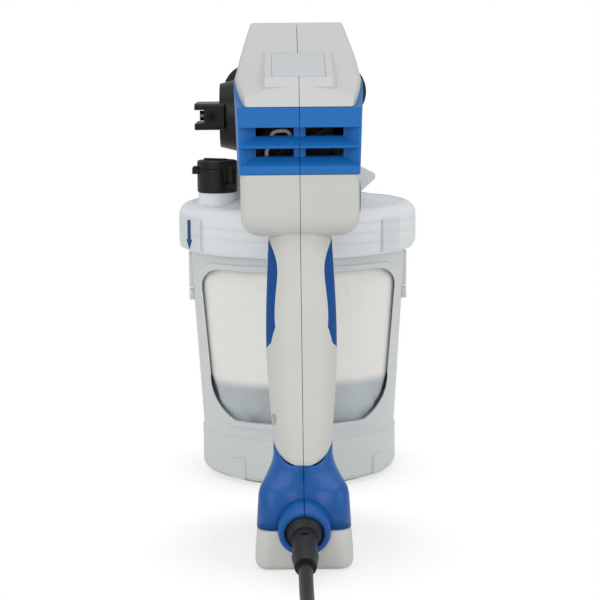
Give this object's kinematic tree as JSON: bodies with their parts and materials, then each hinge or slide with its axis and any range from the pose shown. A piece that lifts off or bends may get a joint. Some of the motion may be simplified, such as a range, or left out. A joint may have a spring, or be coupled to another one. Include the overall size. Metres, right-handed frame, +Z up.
{
  "type": "airless paint sprayer",
  "caption": "Handheld corded airless paint sprayer with a pistol handle and foot, louvred motor housing, windowed cup with bag liner, prime knob, and reversible tip in its guard.",
  "frame": {"origin": "centre of the flat base of the cup, on the surface the sprayer stands on", "axes": "+Y is the spray direction, +X is the right hand of the person holding it, +Z up"},
  "size_m": [0.2127, 0.5491, 0.2753],
  "materials": {
    "white_plastic": "fine satin moulded",
    "blue_plastic": "satin moulded",
    "blue_grip": "soft matte overmould",
    "clear_white_plastic": "translucent natural",
    "liner_film": "translucent thin film",
    "black_plastic": "satin moulded",
    "guard_plastic": "satin moulded",
    "tip_plastic": "satin moulded",
    "black_rubber": "matte",
    "steel": "ground",
    "aluminium": "die cast",
    "brass": "bright",
    "carbon": "matte carbon",
    "board": "varnished laminate",
    "clear_tube": "translucent",
    "grey_wire": "satin insulation"
  },
  "bodies": {
    "sprayer": {"air_valve": "black_plastic", "base_left": "blue_plastic", "base_right": "blue_plastic", "cover_gasket": "black_rubber", "cup_cover": "clear_white_plastic", "foot": "white_plastic", "gear_plate": "black_plastic", "grip_left": "blue_grip", "grip_right": "blue_grip", "handle_left": "white_plastic", "handle_right": "white_plastic", "hood_left": "white_plastic", "hood_right": "white_plastic", "housing_screws": "steel", "inlet_strainer": "black_plastic", "inlet_tube": "clear_tube", "motor_brushes": "carbon", "motor_can": "steel", "motor_end_cap": "black_plastic", "motor_magnets": "steel", "nose_cover": "black_plastic", "outlet_manifold": "aluminium", "piston_1": "steel", "piston_2": "steel", "piston_3": "steel", "piston_springs": "steel", "plug_blades": "brass", "plug_body": "black_rubber", "power_cord": "black_rubber", "pump_block": "aluminium", "return_tube": "clear_tube", "speed_control_board": "board", "strain_relief": "black_rubber", "trigger_pin": "steel", "trigger_spring": "steel", "trigger_switch": "black_plastic", "vent_shroud_left": "blue_plastic", "vent_shroud_right": "blue_plastic", "wire_leads": "grey_wire"},
    "rotor": {"motor_rotor": "steel", "cooling_fan": "black_plastic", "motor_pinion": "steel"},
    "drive": {"drive_gear": "steel", "drive_shaft": "steel", "swash_plate": "steel"},
    "trigger": {"trigger": "black_plastic"},
    "lock_bolt": {"trigger_lock_bolt": "black_plastic"},
    "dial": {"speed_dial": "black_plastic"},
    "prime_knob": {"prime_knob": "black_plastic", "prime_valve_stem": "steel", "knob_screw": "steel"},
    "guard_nut": {"guard_nut": "black_plastic"},
    "tip_guard": {"tip_guard": "guard_plastic", "tip_seat": "steel"},
    "spray_tip": {"spray_tip": "tip_plastic"},
    "valve_lid": {"valve_lid": "black_plastic"},
    "cup_liner": {"cup_liner": "liner_film"},
    "cup_frame": {"cup_frame": "clear_white_plastic"}
  },
  "joints": [
    {"name": "motor_spin", "type": "hinge", "parent": "sprayer", "child": "rotor", "pos_m": [0, -0.089, 0.2125], "axis": [0, 1, 0], "continuous": true},
    {"name": "drive_spin", "type": "hinge", "parent": "sprayer", "child": "drive", "pos_m": [0, -0.04, 0.2305], "axis": [0, 1, 0], "continuous": true},
    {"name": "trigger_pull", "type": "hinge", "parent": "sprayer", "child": "trigger", "pos_m": [0, -0.099, 0.17], "axis": [1, 0, 0], "range_deg": [-9, 0], "stiffness_Nm_per_rad": 0.9, "springref_deg": 14.32},
    {"name": "trigger_lock", "type": "slide", "parent": "sprayer", "child": "lock_bolt", "axis": [-1, 0, 0], "range_m": [0, 0.004]},
    {"name": "speed_turn", "type": "hinge", "parent": "sprayer", "child": "dial", "pos_m": [0.031, -0.118, 0.18], "axis": [1, 0, 0], "range_deg": [0, 270]},
    {"name": "prime_spray_turn", "type": "hinge", "parent": "sprayer", "child": "prime_knob", "pos_m": [-0.05, 0.06, 0.217], "axis": [-1, 0, 0], "range_deg": [0, 90]},
    {"name": "guard_nut_turn", "type": "hinge", "parent": "sprayer", "child": "guard_nut", "pos_m": [0, 0.081, 0.2305], "axis": [0, 1, 0], "range_deg": [-360, 0]},
    {"name": "guard_turn", "type": "hinge", "parent": "sprayer", "child": "tip_guard", "pos_m": [0, 0.099, 0.2305], "axis": [0, 1, 0], "range_deg": [0, 90]},
    {"name": "tip_reverse", "type": "hinge", "parent": "tip_guard", "child": "spray_tip", "pos_m": [0, 0.099, 0.2305], "axis": [0, 0, 1], "range_deg": [0, 180]},
    {"name": "valve_lid_open", "type": "hinge", "parent": "sprayer", "child": "valve_lid", "pos_m": [-0.0615, -0.025, 0.18915], "axis": [0, -1, 0], "range_deg": [0, 110]},
    {"name": "cup_drop", "type": "slide", "parent": "sprayer", "child": "cup_liner", "axis": [0, 0, -1], "range_m": [0, 0.009]},
    {"name": "cup_unscrew", "type": "hinge", "parent": "cup_liner", "child": "cup_frame", "pos_m": [0, 0, 0.08], "axis": [0, 0, 1], "range_deg": [-270, 0]}
  ],
  "couplings": [
    {"joint": "drive_spin", "follows": "motor_spin", "ratio": -0.33333},
    {"joint": "cup_drop", "follows": "cup_unscrew", "m_per_rad": -0.0019099}
  ]
}
